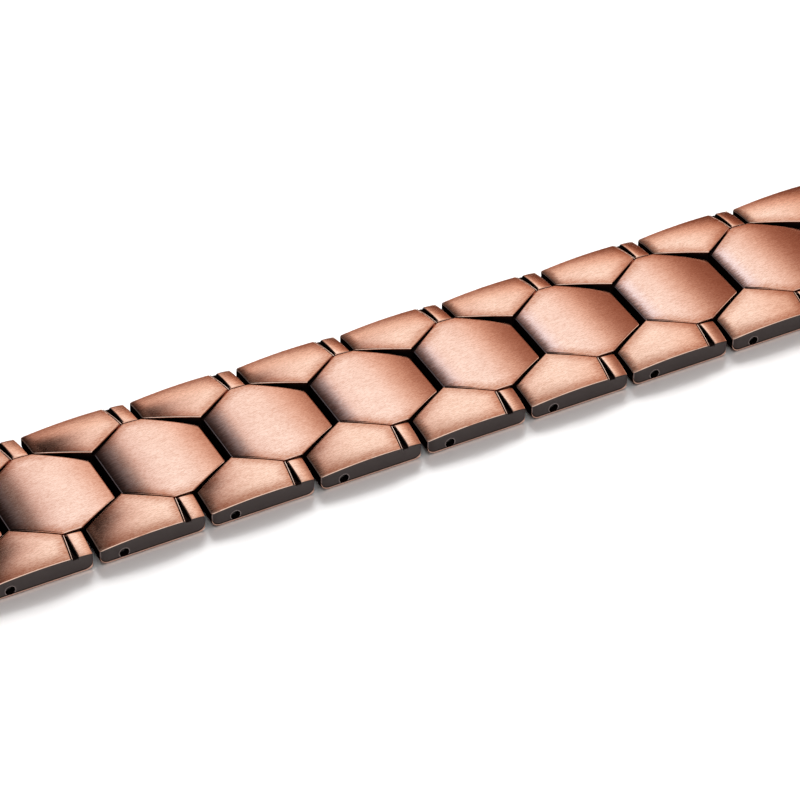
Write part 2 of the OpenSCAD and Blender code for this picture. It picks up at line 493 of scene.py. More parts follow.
def filler_plan(cast):
    """Web that fills the casting under the engraved line, between the hexagon and one wing."""
    lap = 0.35
    right = cast.side_end - 0.03
    return [
        (0.02, cast.end_half - 0.25), (cast.side_start, cast.hex_half - lap), (right, cast.hex_half - lap),
        (right, cast.hex_half + lap), (cast.side_start - 0.25, cast.hex_half + lap),
        (-0.12, cast.end_half + 0.10), (0.0, cast.end_half),
    ]


def groove_stations(cast, inner_wall, outer_wall):
    """Places across the band where the groove's cutter has a section, closest together on the arrises."""
    arris = cast.arris
    shares = (0.0, 0.08, 0.3, 0.62, 1.0)
    stations = [inner_wall - 0.16, inner_wall - 0.001]
    stations += [inner_wall + arris * share for share in shares]
    stations += list(np.linspace(inner_wall + arris, outer_wall - arris, 12)[1:-1])
    stations += [outer_wall - arris * share for share in reversed(shares)]
    return stations + [outer_wall + 0.001, outer_wall + 0.4]


def groove_cutter(cast):
    """Cuts the cross groove and shapes the small tab behind it as a little pillow with a worn edge."""
    inner_wall = cast.hex_half + cast.score_width / 2
    outer_wall = cast.half_width
    arris = cast.arris
    floor = cast.groove_floor
    above = cast.link_thickness + 0.5
    margin = 0.05
    far = 0.4
    ledge_places = (0.04, 0.105, 0.115, 0.160, 0.170)
    narrowing = 0.11
    shoulder, shoulder_steps = 0.15, 6
    sections = []
    for v in groove_stations(cast, inner_wall, outer_wall):
        way = (v - cast.hex_half) / cast.edge_strip
        left, right = cast.groove_walls(v)
        end = cast.side_end - cast.tab_rake * way
        height = float(cast.wing_height(left, v))
        inside = min(v - inner_wall, outer_wall - v)
        if inside >= arris:
            fall = 0.0
        elif inside >= 0:
            fall = arris - math.sqrt(arris ** 2 - (arris - inside) ** 2)
        else:
            fall = arris + 0.02

        profile = [(left - arris - margin, height + 0.08), (left - arris, height + 0.004)]
        profile += [(left - arris * back, height - arris * down) for back, down in quarter(4)]
        profile += [(left + past, height - cast.ledge_depth) for past in ledge_places]
        profile += [(left + 0.19, floor + margin), (left + 0.21, floor)]
        right -= narrowing * (1 - max(way, 0.0))
        profile.append((max(left + 0.22, right - 0.12), floor))
        tab_top = right + 0.55
        for step in range(shoulder_steps + 1):
            angle = math.pi / 2 * (1 - step / shoulder_steps)
            u = right + shoulder * (1 - math.sin(angle))
            rise = shoulder * (1 - math.cos(angle))
            profile.append((u, cast.tab_height(u, v, tab_top) - fall - rise))
        for share in (0.25, 0.5, 0.75, 1.0):
            u = right + shoulder + (end - arris - right - shoulder) * share
            profile.append((u, cast.tab_height(u, v, tab_top) - fall))
        edge = profile[-1][1]
        profile += [(end - arris * back, edge - arris * down) for back, down in quarter(4)]
        profile += [(end + margin, edge - arris - margin), (end + far, edge - arris - margin)]
        profile += [(end + far, above), (left - arris - margin, above)]
        sections.append(np.array([(u, v, z) for u, z in profile]))
    return lofted(sections)


def combined(body, others):
    """Mesh of a scratch object joined with or cut by others, each a (kind, object) pair. Removes them all."""
    for kind, other in others:
        step = body.modifiers.new(kind, "BOOLEAN")
        step.operation = kind
        step.solver = "MANIFOLD"
        step.object = other
    bpy.context.view_layer.update()
    mesh = bpy.data.meshes.new_from_object(body.evaluated_get(bpy.context.evaluated_depsgraph_get()))
    for scratch in [body] + [other for kind, other in others]:
        old = scratch.data
        bpy.data.objects.remove(scratch)
        bpy.data.meshes.remove(old)
    return mesh


def checked_closed(mesh):
    """Cleans a casting's mesh, and stops the script if it isn't closed."""
    same_place = 0.00002
    shape = bmesh.new()
    shape.from_mesh(mesh)
    bmesh.ops.remove_doubles(shape, verts=shape.verts, dist=same_place)
    bmesh.ops.dissolve_degenerate(shape, edges=shape.edges, dist=same_place)
    bmesh.ops.triangulate(shape, faces=[f for f in shape.faces if len(f.verts) > 4])
    open_edges = [e for e in shape.edges if len(e.link_faces) != 2]
    if open_edges:
        raise RuntimeError(f"a casting has {len(open_edges)} open edges")
    shape.to_mesh(mesh)
    shape.free()
    mesh.materials.clear()
    return mesh


def cast_mesh(cast, grooved, pocketed, mouthed):
    """One casting as a clean closed mesh in millimetres: fields on webs, then grooves, bores and pocket."""
    run = cast.run
    through = 10.0
    edges = (cast.arris, cast.back_arris)
    hexagon = raised_field(
        cast.hexagon_plan(), (2.2, 6.6 + run, 0.0), cast.hexagon_height, cast.hexagon_under, *edges)
    wing = raised_field(
        cast.wing_plan(), (-3.2, 4.1 + run, 6.75), cast.wing_height, cast.wing_under, *edges)
    web = prism(filler_plan(cast), 0.26, cast.score_floor)
    caught = cast.link_pitch + run - cast.pin_back
    bores = (-cast.pin_back, caught)
    cuts = [drum((x, 0, cast.pin_height), 1, cast.bore_radius, through, 32) for x in bores]
    if grooved:
        groove = groove_cutter(cast)
        cuts += [groove, mirrored(groove)]
    if pocketed:
        top = cast.magnet_recess + cast.magnet_thickness + cast.magnet_room
        radius = cast.magnet_diameter / 2 + cast.magnet_room
        reach = 1.5
        cuts.append(drum((cast.side_start, 0, top - reach), 2, radius, reach, 72))
    body = working_object("casting", hexagon)
    others = [
        ("UNION", working_object("wings", joined([wing, mirrored(wing)]))),
        ("UNION", working_object("webs", joined([web, mirrored(web)]))),
        ("DIFFERENCE", working_object("cuts", joined(cuts))),
    ]
    if mouthed:
        half = cast.mouth_width / 2
        wide = 9.0
        left, right = caught - half, caught + half
        slot = [(left, -wide), (right, -wide), (right, wide), (left, wide)]
        others.append(("DIFFERENCE", working_object("mouth", prism(slot, -1.0, cast.pin_height))))
    return checked_closed(combined(body, others))


def outline_distance(points, corners):
    """Distance of points in plan from the nearest side of an outline."""
    best = np.full(len(points), 1e9)
    for a, b in zip(corners, np.roll(corners, -1, axis=0)):
        side = b - a
        share = np.clip((points - a) @ side / (side @ side), 0.0, 1.0)
        best = np.minimum(best, np.linalg.norm(points - a - share[:, None] * side, axis=1))
    return best


def engraved_line_place(cast, flat):
    """Where points in plan lie by the engraved line at the hexagon's left: share along it, and distance."""
    start = np.array([0.0, cast.end_half])
    way = np.array([cast.side_start, cast.hex_half]) - start
    along = (flat - start) @ way / (way @ way)
    off = np.abs((flat - start) @ np.array([-way[1], way[0]])) / np.linalg.norm(way)
    return along, off


def casting_masks(cast, u, v, inside, depth, z):
    """Patina of a recess, with painted shade along the engraved line and on the groove's ledge; wear of an
    arris, with a painted highlight on the ledge; distance from the field's edge; and painted shade beside the
    near engraved line;
    for each point. Widths are in millimetres, and depths mostly shares of the arris."""
    arris = cast.arris
    flat = np.column_stack([u, np.abs(v)])
    near = inside & (v < 0.0)
    recess = unit((depth - 0.45 * arris) / (1.6 * arris))
    worn = unit(1.0 - np.abs(depth - 0.22 * arris) / (0.30 * arris))

    along, off = engraved_line_place(cast, flat)
    at_line = (off < cast.score_width / 2 + arris + 0.01) & (along > 0.0) & (along < 1.02)
    near_edge = np.clip(0.5 * along, 0.02, 0.5)
    far_edge = np.clip(2.5 * along, 0.02, 0.55)
    line_edge = np.where(near, near_edge, far_edge) * arris
    # Painted shade along the engraved line in place of the patina: darkest by the hexagon's corner and fading
    # along the line, wider on the near side (v below 0), whose arris keeps no worn colour while the far
    # side's keeps part of it.
    line_shade = unit((depth - line_edge) / (0.4 * arris)) * unit(1.20 - 1.15 * along)
    recess = np.where(at_line, line_shade, recess)
    worn = np.where(at_line, np.where(near, 0.0, 0.6 * worn), worn)

    tab_end = ~inside & (u > cast.side_end - cast.tab_rake - 0.15)
    recess = np.where(tab_end, unit((depth - 1.1 * arris) / (1.2 * arris)), recess)
    by_side = np.abs(np.abs(v) - cast.hex_half) < 0.21
    beside_tab = (u > cast.side_start - 0.05) & (u < cast.side_end) & by_side
    recess = np.where(beside_tab, 0.35 * recess, recess)

    hexagon_edge = outline_distance(flat, cast.hexagon_plan()[0])
    edge = np.where(inside, hexagon_edge, outline_distance(flat, cast.wing_plan()[0]))
    # Painted shade on the crown beside the near engraved line, fading along it.
    by_near_line = at_line & (v < 0.0) & (edge < arris * 1.1)
    beside_line = np.where(by_near_line, unit(1.0 - 1.3 * along), 0.0)
    if cast.run == 0.0:
        wall = cast.groove_walls(np.abs(v))[0]
        past_wall = u - wall
        left_of_groove = u <= wall + 0.2
        to_wall = np.minimum(edge, np.abs(wall - u))
        edge = np.where(inside, edge, np.where(left_of_groove, to_wall, FAR_FROM_EDGE))
        ledge = cast.wing_height(wall, v) - cast.ledge_depth
        on_ledge = ~inside & (np.abs(z - ledge) < 0.004)
        # On the ledge in the groove's left wall: a black band of painted shade, and in it a light band of
        # painted highlight in worn copper.
        recess = np.where(on_ledge & (past_wall > 0.02) & (past_wall < 0.18), 1.0, recess)
        lit = on_ledge & (past_wall > 0.110) & (past_wall < 0.165)
        recess = np.where(lit, 0.0, recess)
        worn = np.where(lit, 0.55, worn)
    return recess, worn, edge, beside_line


def mark_casting(mesh, cast):
    """Shades a casting smooth, and writes what its material reads: two sets of masks and the UV map brush.
    finish holds the flat side in red, the worn arris with a painted highlight on the groove's ledge in green,
    the patina of a recess with painted shade along and beside the engraved line and on the ledge in blue, and
    the hexagon in alpha. place holds the distance from the field's edge in red, as a share of 2 mm, the back
    in green, and the distance from the field's left end in blue, as a share of 10 mm. brush follows the
    brushing on the crowns and back, and stands upright on the flat sides."""
    mesh.shade_smooth()
    mesh.set_sharp_from_angle(angle=math.radians(34))
    points = np.zeros(len(mesh.vertices) * 3)
    mesh.vertices.foreach_get("co", points)
    points = points.reshape(-1, 3)
    u, v, z = points.T
    arris = cast.arris
    inside = cast.in_hexagon(u, v)
    top = np.where(inside, cast.hexagon_height(u, v), cast.wing_height(u, v))
    depth = np.clip(top - z, 0.0, None)
    lift = z - np.where(inside, cast.hexagon_under(u, v), cast.wing_under(u, v))
    recess, worn, edge, beside_line = casting_masks(cast, u, v, inside, depth, z)
    outer = np.abs(v) > cast.half_width - arris - 0.01
    side = np.where(outer & (depth > 0.40 * arris), 1.0, 0.0)
    foot = outer & (lift < cast.back_arris * 0.93)
    foot_rub = 0.4
    from_left = np.where(inside, u, u + cast.ear_reach) / 10.0
    plain_end = cast.side_start + cast.run
    side_place = np.interp(u, [0.0, plain_end], [0.0, cast.side_start])
    side_place += np.minimum(u, 0.0) + np.maximum(u - plain_end, 0.0)

    masks = np.zeros((len(mesh.loops), 4))
    place = np.zeros((len(mesh.loops), 4))
    brush = mesh.uv_layers.new(name="brush")
    for face in mesh.polygons:
        centre, normal = face.center, face.normal
        on_hexagon = bool(cast.in_hexagon(centre.x, centre.y))
        beside = abs(centre.y) > cast.half_width - arris
        angle = HEXAGON_TURN if on_hexagon else WING_TURN
        back = normal.z < -0.6 and not (beside and lift[face.vertices[0]] < cast.back_arris)
        crown = normal.z > 0.97 and depth[face.vertices[0]] < 0.06
        for corner in face.loop_indices:
            vertex = mesh.loops[corner].vertex_index
            x, y, height = points[vertex]
            if beside:
                inset = cast.half_width - abs(y)
                spot = (side_place[vertex], height + (inset if normal.z > 0 else -inset))
            else:
                cosine, sine = math.cos(angle), math.sin(angle)
                spot = (x * cosine + y * sine, y * cosine - x * sine)
            brush.data[corner].uv = spot
            rub_and_painted_highlight = 0.0 if crown and edge[vertex] > arris * 0.9 else worn[vertex]
            if back:
                mask = (0.0, 0.0, 0.0)
            elif beside and foot[vertex]:
                mask = (0.0, foot_rub, 0.0)
            elif beside:
                mask = (side[vertex], rub_and_painted_highlight, 0.0)
            else:
                mask = (0.0, rub_and_painted_highlight, beside_line[vertex] if crown else recess[vertex])
            masks[corner] = (*mask, float(on_hexagon))
            place[corner] = (min(edge[vertex] / 2.0, 1.0), float(back), from_left[vertex], 1.0)
    for name, values in (("finish", masks), ("place", place)):
        layer = mesh.attributes.new(name, "FLOAT_COLOR", "CORNER")
        layer.data.foreach_set("color", values.astype(np.float32).ravel())
    mesh.transform(Matrix.Scale(MM, 4))
    return mesh


class Wiring:
    """Adds nodes to a tree in a few words. A value is a number, a tuple or another node's output."""

    def __init__(self, tree):
        self.tree = tree
        self.tree.nodes.clear()

    def node(self, kind, inputs=(), out=0, **settings):
        made = self.tree.nodes.new(kind)
        for name, value in settings.items():
            setattr(made, name, value)
        for key, value in dict(inputs).items():
            self.feed(made.inputs[key], value)
        return made.outputs[out] if out is not None else made

    def feed(self, socket, value):
        if isinstance(value, bpy.types.NodeSocket):
            self.tree.links.new(value, socket)
        else:
            socket.default_value = value

    def math(self, operation, a, b=0.0, c=0.0):
        return self.node("ShaderNodeMath", {0: a, 1: b, 2: c}, operation=operation)

    def times(self, a, b):
        return self.math("MULTIPLY", a, b)

    def minus(self, a, b):
        return self.math("SUBTRACT", a, b)

    def fused(self, a, b, c):
        """a times b, plus c."""
        return self.math("MULTIPLY_ADD", a, b, c)

    def ramp(self, value, low, high):
        """Smooth step of a value, 0 at low and 1 at high."""
        inputs = {"Value": value, "From Min": low, "From Max": high, "To Min": 0.0, "To Max": 1.0}
        return self.node("ShaderNodeMapRange", inputs, interpolation_type="SMOOTHSTEP")

    def mix(self, share, a, b, blend="MIX"):
        inputs = {"Factor": share, 6: a, 7: b}
        return self.node("ShaderNodeMix", inputs, out=2, data_type="RGBA", blend_type=blend)

    def tinted(self, a, b):
        """One colour times another."""
        return self.mix(1.0, a, b, "MULTIPLY")

    def gradient(self, value, stops):
        """Colour at a value between stops, each a (place, colour) pair."""
        made = self.node("ShaderNodeValToRGB", {"Fac": value}, out=None)
        marks = made.color_ramp.elements
        while len(marks) < len(stops):
            marks.new(1.0)
        for mark, (place, shade) in zip(marks, stops):
            mark.position = place
            mark.color = rgba(shade)
        return made.outputs[0]

    def axes(self, vector):
        """The X, Y and Z parts of a vector."""
        return self.node("ShaderNodeSeparateXYZ", {"Vector": vector}, out=None).outputs

    def painted(self, name):
        """The red, green, blue and alpha of a colour attribute."""
        found = self.node("ShaderNodeAttribute", out=None, attribute_name=name).outputs
        parts = self.node("ShaderNodeSeparateColor", {"Color": found["Color"]}, out=None).outputs
        return parts[0], parts[1], parts[2], found["Alpha"]

    def noise(self, vector, scale, detail, roughness=0.5):
        inputs = {"Vector": vector, "Scale": scale, "Detail": detail, "Roughness": roughness}
        return self.node("ShaderNodeTexNoise", inputs)

    def mapped(self, vector, scale, turn=0.0):
        inputs = {"Vector": vector, "Scale": scale, "Rotation": (0.0, 0.0, turn)}
        return self.node("ShaderNodeMapping", inputs)

    def grain(self, vector, stretch, detail, roughness=0.5, turn=0.0):
        """Noise whose place is stretched and turned first."""
        return self.noise(self.mapped(vector, stretch, turn), 1.0, detail, roughness)


def rgba(value, share=1.0):
    """A colour, or a share of it, with full alpha."""
    return (share * value[0], share * value[1], share * value[2], 1.0)


def new_material(name):
    """A new material, the wiring of its tree, and its Object coordinates."""
    material = bpy.data.materials.new(name)
    material.use_nodes = True
    wire = Wiring(material.node_tree)
    return material, wire, wire.node("ShaderNodeTexCoord", out=3)


def side_lines(wire, cast):
    """Masks of the thin lines on a casting's flat side, from its upright UV: the copper foot, the black line
    above it, and the painted highlights along the ear's end and round the bore."""
    u, z = wire.axes(wire.node("ShaderNodeUVMap", uv_map="brush"))[:2]

    def lower_round(distance, radius):
        inside = wire.math("MAXIMUM", wire.minus(radius, distance), 0.0)
        room = wire.fused(wire.times(inside, inside), -1.0, radius * radius)
        return wire.minus(radius, wire.math("SQRT", wire.math("MAXIMUM", room, 0.0)))

    from_left = wire.math("ADD", u, cast.ear_reach)
    from_right = wire.minus(cast.side_end - cast.run - cast.tab_rake, u)
    ear_round = lower_round(from_left, cast.ear_under)
    under = wire.math("MAXIMUM", ear_round, lower_round(from_right, cast.tab_under))
    lift = wire.minus(z, under)
    foot_line = wire.ramp(lift, cast.back_arris + 0.19, cast.back_arris + 0.14)
    copper_foot = wire.ramp(lift, cast.back_arris + 0.06, cast.back_arris + 0.03)
    # Painted highlights: a light line along the ear's left end and a light ring round the bore.
    rim = wire.ramp(from_left, 0.13, 0.07)
    across = wire.math("ADD", u, cast.pin_back)
    upward = wire.minus(z, cast.pin_height)
    apart = wire.fused(across, across, wire.times(upward, upward))
    bore_rim = wire.ramp(wire.math("SQRT", apart), cast.bore_radius + 0.09, cast.bore_radius + 0.04)
    return copper_foot, foot_line, wire.math("MAXIMUM", rim, wire.times(bore_rim, 0.85))


def end_patina_and_painted_shade(wire, place, jag, worn, on_hexagon, from_left):
    """Black patina at the left end of each field, with a ragged edge, and painted shade that widens it on the
    hexagons and darkens it towards the left links, where the hexagons' ends reflect dark.
    """
    ragged = wire.fused(wire.minus(jag, 0.5), 0.12, from_left)
    # Painted shade: wider and darker towards the band's left end, along object X.
    painted_shade_leftward = wire.ramp(wire.axes(place)[0], 0.022, -0.044)
    reach = wire.fused(wire.times(painted_shade_leftward, on_hexagon), 0.20, 0.095)
    shade = wire.ramp(ragged, reach, -0.005)
    shade = wire.times(shade, wire.fused(worn, -0.75, 1.0))
    strength = wire.fused(painted_shade_leftward, 0.20, wire.fused(on_hexagon, 0.07, 0.72))
    return wire.times(shade, strength)


def antique_copper_and_painted_light(finish, cast):
    """Brushed copper over black patina: streaks along the band, worn arrises, dark grooves and sides, with
    painted shade at the fields' left ends and by the engraved lines, painted highlights on the groove's
    ledges and on the flat sides' rims, and a painted lilac-blue tint on the hexagons' left parts.
    """
    material, wire, place = new_material("brushed_copper_over_patina")
    side, worn, recess, on_hexagon = wire.painted("finish")
    edge, back, from_left = wire.painted("place")[:3]

    per_mm = (1 / MM,) * 3
    on_wing = wire.mapped(place, per_mm, -WING_TURN)
    on_crown = wire.mapped(place, per_mm, -HEXAGON_TURN)
    inputs = {"Factor": on_hexagon, 4: on_wing, 5: on_crown}
    along = wire.node("ShaderNodeMix", inputs, out=1, data_type="VECTOR")
    broad = wire.grain(along, (0.30, 3.0, 3.0), 3.0)
    fine = wire.grain(along, (2.0, 13.0, 13.0), 2.0, 0.6)
    hair = wire.grain(along, (4.0, 22.0, 22.0), 1.0)
    scuff = wire.grain(along, (0.9, 1.6, 1.6), 4.0, 0.7)
    jag = wire.grain(along, (1.1, 12.0, 12.0), 3.0, 0.6)
    cloud = wire.grain(place, (450.0,) * 3, 3.0)

    streak = wire.fused(hair, 0.5, wire.times(fine, 0.5))
    tone = wire.fused(cloud, 0.5, wire.times(broad, 0.5))
    cloud_strength, streak_strength, edge_strength = 0.12, 0.42, 0.62
    shade = wire.times(wire.ramp(tone, 0.42, 0.62), cloud_strength)
    shade = wire.fused(wire.ramp(streak, 0.56, 0.42), streak_strength, shade)
    on_tongue = wire.times(on_hexagon, wire.ramp(from_left, 0.50, 0.75))
    near_edge = wire.times(wire.ramp(edge, 0.60, 0.02), wire.minus(1.0, on_tongue))
    shade = wire.fused(near_edge, edge_strength, shade)
    wing_copper = [a * b for a, b in zip(finish.copper, (1.0, 0.96, 0.91))]
    clean = wire.mix(on_hexagon, rgba(wing_copper), rgba(finish.copper))
    brushed = wire.mix(wire.math("MINIMUM", shade, 1.0), clean, rgba(finish.brush_shade))
    edge_break = wire.ramp(wire.fused(cloud, 0.7, wire.times(fine, 0.3)), 0.28, 0.50)
    rubbed_and_painted_light = wire.mix(wire.times(worn, edge_break), brushed, rgba(finish.worn_copper))
    # Painted reflection: the hexagons' left parts tinted lilac-blue, the hue of their reflection where it
    # turns dark.
    painted_reflection_tint = wire.times(wire.ramp(from_left, 0.22, -0.02), on_hexagon)
    rubbed_and_painted_light = wire.tinted(rubbed_and_painted_light, wire.mix(painted_reflection_tint, WHITE, (0.93, 1.12, 1.42, 1.0)))

    # Patina in the recesses, together with the painted shade that the masks carry by the engraved lines, on
    # the groove's ledge and at the fields' left ends.
    patina_and_painted_shade = wire.ramp(wire.fused(scuff, 0.40, wire.math("ADD", recess, -0.20)), 0.10, 0.40)
    patina_and_painted_shade = wire.times(patina_and_painted_shade, wire.ramp(recess, 0.02, 0.15))
    patina_and_painted_shade = wire.math("MAXIMUM", patina_and_painted_shade, end_patina_and_painted_shade(wire, place, jag, worn, on_hexagon, from_left))
    patinated_and_shaded = wire.mix(patina_and_painted_shade, rubbed_and_painted_light, rgba(finish.patina))

    copper_foot, foot_line, rim = side_lines(wire, cast)
    side_tone = wire.mix(cloud, rgba(finish.side_grey), rgba(finish.side_grey, 0.8))
    # Painted highlights on the flat side's rims, in the side grey three and a half times lighter.
    side_tone = wire.mix(rim, side_tone, rgba(finish.side_grey, 3.5))
    side_tone = wire.mix(foot_line, side_tone, rgba(finish.patina))
    side_tone = wire.mix(copper_foot, side_tone, rgba(finish.copper, 0.72))
    flanked = wire.mix(side, patinated_and_shaded, side_tone)
    back_tone = wire.mix(wire.ramp(tone, 0.35, 0.65), rgba(finish.copper, 0.35), rgba(finish.side_grey))

    rough = wire.fused(streak, 0.09, 0.12)
    rough = wire.fused(patina_and_painted_shade, 0.25, rough)
    rough = wire.fused(worn, -0.06, rough)
    rough = wire.fused(side, 0.25, rough)
    relief = wire.fused(hair, 0.2, wire.fused(broad, 1.0, wire.times(fine, 0.5)))
    shader = wire.node("ShaderNodeBsdfPrincipled", {
        "Base Color": wire.mix(back, flanked, back_tone), "Roughness": rough, "Metallic": 1.0,
        "Normal": wire.node("ShaderNodeBump", {"Height": relief, "Strength": 1.0, "Distance": 0.0000025}),
        "Tangent": wire.node("ShaderNodeTangent", direction_type="UV_MAP", uv_map="brush"),
        # Patina and painted shade also lose their reflection.
        "Specular Tint": wire.mix(patina_and_painted_shade, WHITE, (0.02, 0.02, 0.02, 1.0)),
        "Anisotropic": 0.75, "Anisotropic Rotation": 0.25})
    wire.node("ShaderNodeOutputMaterial", {"Surface": shader}, out=None)
    return material


def plain_metal(name, tint, marks, spots, rough):
    """Metal with fine marks and darker spots. marks is the noise of the marks, as its stretch, detail,
    roughness and turn; spots the spots' fineness, where they end, and their share of the tint; and rough the
    spread of the roughness and its least."""
    material, wire, place = new_material(name)
    stretch, detail, breakup, turn = marks
    fineness, spot_end, darker = spots
    drawn = wire.grain(place, stretch, detail, breakup, turn)
    spotted = wire.ramp(wire.grain(place, (fineness,) * 3, 3.0), 0.4, spot_end)
    shader = wire.node("ShaderNodeBsdfPrincipled", {
        "Base Color": wire.mix(spotted, rgba(tint), rgba(tint, darker)),
        "Roughness": wire.fused(drawn, *rough), "Metallic": 1.0,
        "Normal": wire.node("ShaderNodeBump", {"Height": drawn, "Strength": 1.0, "Distance": 0.000001})})
    wire.node("ShaderNodeOutputMaterial", {"Surface": shader}, out=None)
    return material


def dark_pin_steel(finish):
    """Drawn steel wire with fine turning marks, its near-black colour painted shade, so that the pins read
    dark deep in their bores and in the gaps.
    """
    marks = ((9000.0, 500.0, 9000.0), 3.0, 0.5, 0.0)
    return plain_metal("blackened_steel_wire", finish.pin_steel, marks, (1500.0, 0.7, 0.45), (0.2, 0.22))


def nickel_plate(finish):
    """Nickel plating of the magnets, lightly scratched."""
    marks = ((2600.0, 400.0, 2600.0), 4.0, 0.7, 0.6)
    return plain_metal("nickel_plating", finish.nickel, marks, (700.0, 0.75, 0.8), (0.18, 0.12))


def made_once(name, maker, *settings):
    """The material of that name, made at its first use."""
    return bpy.data.materials.get(name) or maker(*settings)


def row_tree():
    """Geometry Nodes that set one piece along the band: a line of points, the piece on each, made real."""
    tree = bpy.data.node_groups.get("piece_along_band")
    if tree:
        return tree
    tree = bpy.data.node_groups.new("piece_along_band", "GeometryNodeTree")
    sockets = (
        ("Piece", "Object"), ("Start", "Float"), ("Pitch", "Float"), ("Number", "Int"), ("Copies", "Int"),
        ("Material", "Material"))
    for name, kind in sockets:
        tree.interface.new_socket(name, in_out="INPUT", socket_type="NodeSocket" + kind)
    tree.interface.new_socket("Geometry", in_out="OUTPUT", socket_type="NodeSocketGeometry")
    wire = Wiring(tree)
    given = wire.node("NodeGroupInput", out=None).outputs
    place = wire.fused(given["Number"], given["Pitch"], given["Start"])
    start = wire.node("ShaderNodeCombineXYZ", {"X": place})
    step = wire.node("ShaderNodeCombineXYZ", {"X": given["Pitch"]})
    inputs = {"Count": given["Copies"], "Start Location": start, "Offset": step}
    line = wire.node("GeometryNodeMeshLine", inputs)
    piece = wire.node("GeometryNodeObjectInfo", {"Object": given["Piece"]}, out=None).outputs["Geometry"]
    laid = wire.node("GeometryNodeInstanceOnPoints", {"Points": line, "Instance": piece})
    real = wire.node("GeometryNodeRealizeInstances", {"Geometry": laid})
    shown = wire.node("GeometryNodeSetMaterial", {"Geometry": real, "Material": given["Material"]})
    wire.node("NodeGroupOutput", {"Geometry": shown}, out=None)
    return tree


def laid_pieces(master_mesh, nodes, prefix, start, pitch, material):
    """One finished piece for each CAD node, each from its own run of the Geometry Nodes tree."""
    master = bpy.data.objects.new(prefix + "master", master_mesh)
    bpy.context.scene.collection.objects.link(master)
    tree = row_tree()
    sockets = {s.name: s.identifier for s in tree.interface.items_tree if s.in_out == "INPUT"}
    made = []
    for number, node in enumerate(nodes):
        holder = bpy.data.objects.new(prefix + "holder", bpy.data.meshes.new(prefix + "holder"))
        step = holder.modifiers.new("row", "NODES")
        step.node_group = tree
        values = {
            "Piece": master, "Start": start, "Pitch": pitch, "Number": number, "Copies": 1,
            "Material": material}
        for name, value in values.items():
            step[sockets[name]] = value
        bpy.context.scene.collection.objects.link(holder)
        bpy.context.view_layer.update()
        graph = bpy.context.evaluated_depsgraph_get()
        mesh = bpy.data.meshes.new_from_object(
            holder.evaluated_get(graph), preserve_all_data_layers=True, depsgraph=graph)
        empty = holder.data
        bpy.data.objects.remove(holder)
        bpy.data.meshes.remove(empty)
        if not len(mesh.polygons):
            raise RuntimeError(f"the tree made no piece for {node}")
        mesh.name = prefix + node[-2:] if node[-2:].isdigit() else prefix + node
        piece = bpy.data.objects.new(mesh.name, mesh)
        bpy.context.scene.collection.objects.link(piece)
        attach(piece, "root")
        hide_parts(node)
        made.append(piece)
    bpy.data.objects.remove(master)
    return made


def band_start(sizes):
    """Place along X of the first hexagon's left end, in metres."""
    return FIRST_LOW.x + sizes.ear_reach


class BRACELET_OT_cast_links(bpy.types.Operator):
    """Casts the links and lays one along the band for each CAD link"""

    bl_idname = "bracelet.cast_links"
    bl_label = "Cast links"

    def execute(self, context):
        sizes = context.scene.bracelet_sizes
        finish = context.scene.bracelet_finish
        cast = Casting(sizes)
        mesh = mark_casting(cast_mesh(cast, grooved=True, pocketed=True, mouthed=False), cast)
        material = made_once("brushed_copper_over_patina", antique_copper_and_painted_light, finish, cast)
        start = band_start(sizes)
        laid_pieces(mesh, LINK_NODES, "cast_link_", start, sizes.link_pitch, material)
        return {"FINISHED"}


class BRACELET_OT_snap_clasp(bpy.types.Operator):
    """Casts the plain clasp that ends the band"""

    bl_idname = "bracelet.snap_clasp"
    bl_label = "Snap clasp"

    def execute(self, context):
        sizes = context.scene.bracelet_sizes
        finish = context.scene.bracelet_finish
        run = (sizes.clasp_length - (FIRST_HIGH.x - FIRST_LOW.x)) / MM
        cast = Casting(sizes, run)
        mesh = mark_casting(cast_mesh(cast, grooved=False, pocketed=False, mouthed=True), cast)
        material = made_once("brushed_copper_over_patina", antique_copper_and_painted_light, finish, cast)
        start = band_start(sizes) + len(LINK_NODES) * sizes.link_pitch
        laid_pieces(mesh, ["clasp"], "cast_", start, sizes.link_pitch, material)
        return {"FINISHED"}


def turned_solid(profile, sides):
    """Solid of revolution round Z from (radius, height) pairs that start and end on the axis."""
    points = []
    for radius, height in profile[1:-1]:
        for k in range(sides):
            angle = 2 * math.pi * k / sides
            points.append((radius * math.cos(angle), radius * math.sin(angle), height))
    rings = len(profile) - 2
    faces = ring_faces(rings, sides)
    bottom, top = len(points), len(points) + 1
    points += [(0, 0, profile[0][1]), (0, 0, profile[-1][1])]
    for k in range(sides):
        j = (k + 1) % sides
        faces.append((bottom, j, k))
        faces.append((top, (rings - 1) * sides + k, (rings - 1) * sides + j))
    return np.array(points, float), faces


def turned_mesh(name, profile, sides, turn, place):
    """Mesh of a turned solid, shaded by angle, turned round X and moved, and then scaled to metres."""
    scratch = working_object(name, turned_solid(profile, sides))
    mesh = scratch.data
    bpy.data.objects.remove(scratch)
    mesh.shade_smooth()
    mesh.set_sharp_from_angle(angle=math.radians(40))
    mesh.transform(Matrix.Rotation(turn, 4, "X"))
    mesh.transform(Matrix.Translation(place))
    mesh.transform(Matrix.Scale(MM, 4))
    return mesh


